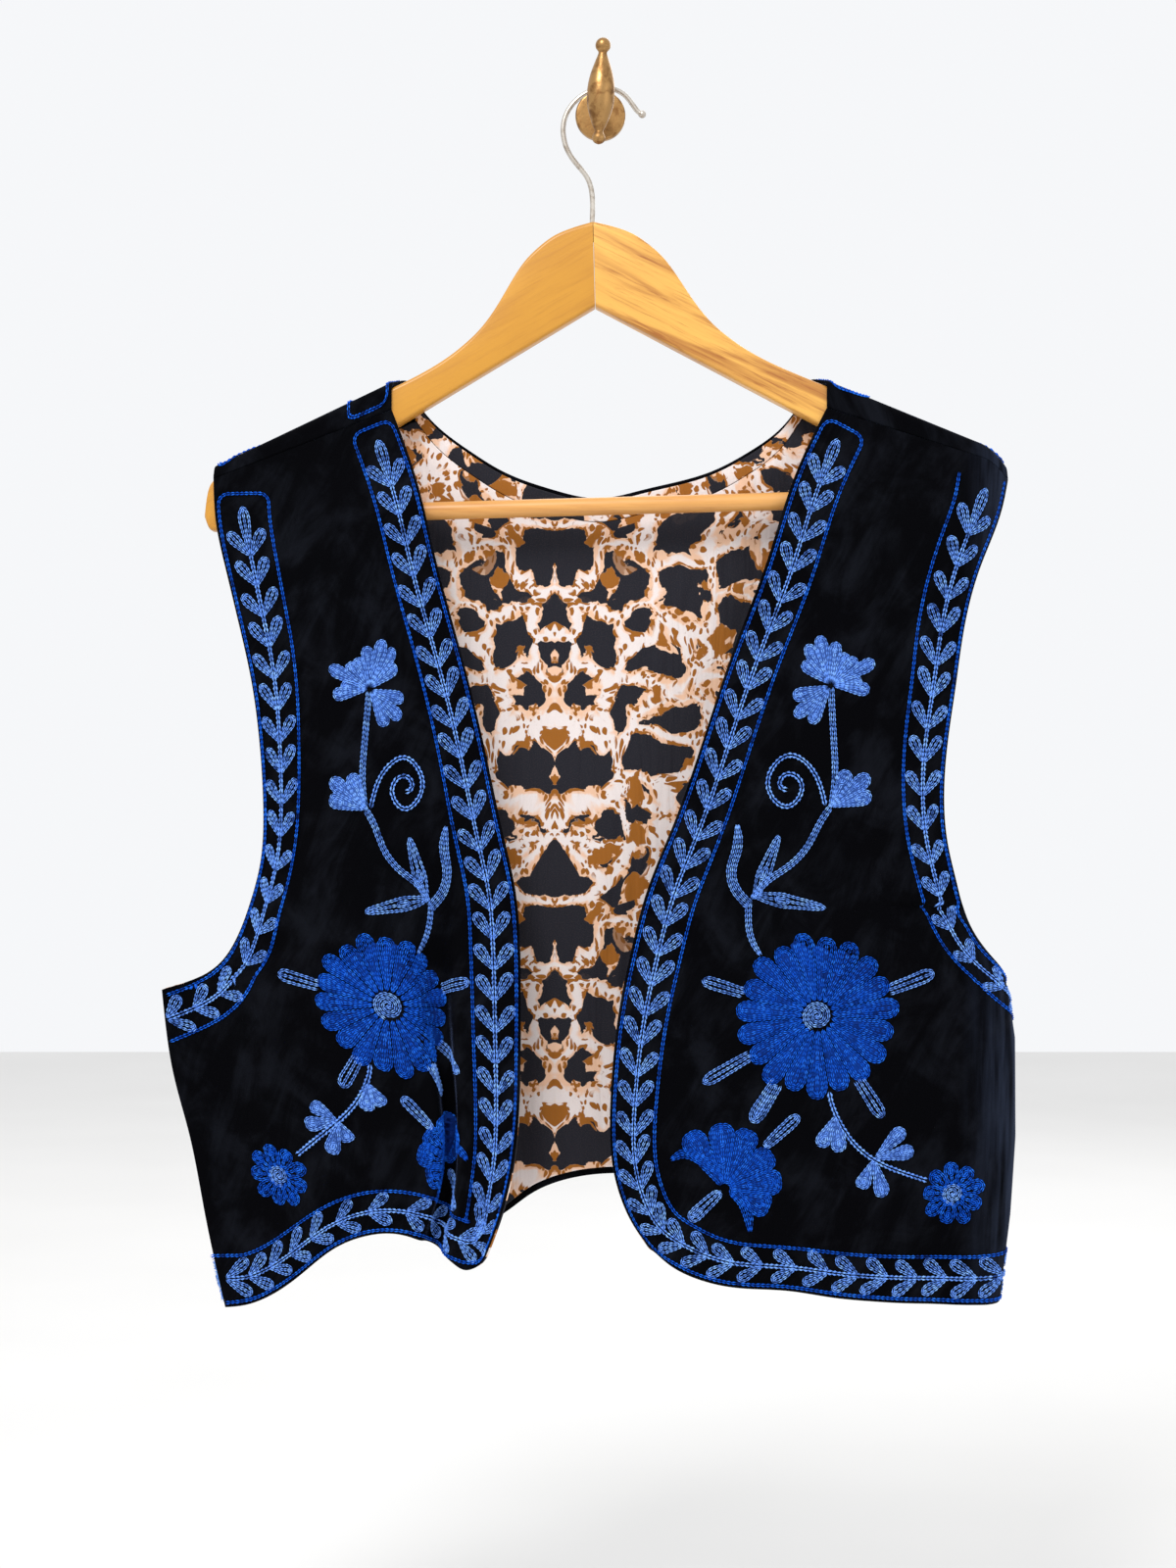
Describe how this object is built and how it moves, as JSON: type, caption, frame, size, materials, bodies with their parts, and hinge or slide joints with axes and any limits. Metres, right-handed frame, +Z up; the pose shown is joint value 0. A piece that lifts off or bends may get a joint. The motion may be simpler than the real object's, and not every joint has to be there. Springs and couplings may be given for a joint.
{
  "type": "embroidered velvet vest on a hanger and wall hook",
  "caption": "Open sleeveless vest in velvet with chain stitch embroidery and a printed cotton lining, hung on a wooden hanger from a brass wall hook.",
  "frame": {"origin": "middle of the wall rose's back face, on the axis of the hook's stem", "axes": "+Y points into the wall, -Y to the front of the vest, +Z up, +X to the viewer's right, which is the wearer's left"},
  "size_m": [0.496, 0.0877, 0.736],
  "materials": {
    "velvet": "soft pile, nearly black",
    "printed_cotton": "thin printed weave",
    "lacquered_wood": "clear lacquer",
    "bright_steel": "polished wire",
    "aged_brass": "worn polish"
  },
  "bodies": {
    "root": {"right_front": "velvet", "left_front": "velvet", "back": "velvet", "back_lining": "printed_cotton", "neck_facing": "printed_cotton", "hanger_arm_right": "lacquered_wood", "hanger_arm_left": "lacquered_wood", "trouser_bar": "lacquered_wood", "hanger_hook": "bright_steel", "wall_hook": "aged_brass", "wall_rose": "aged_brass"}
  },
  "joints": []
}
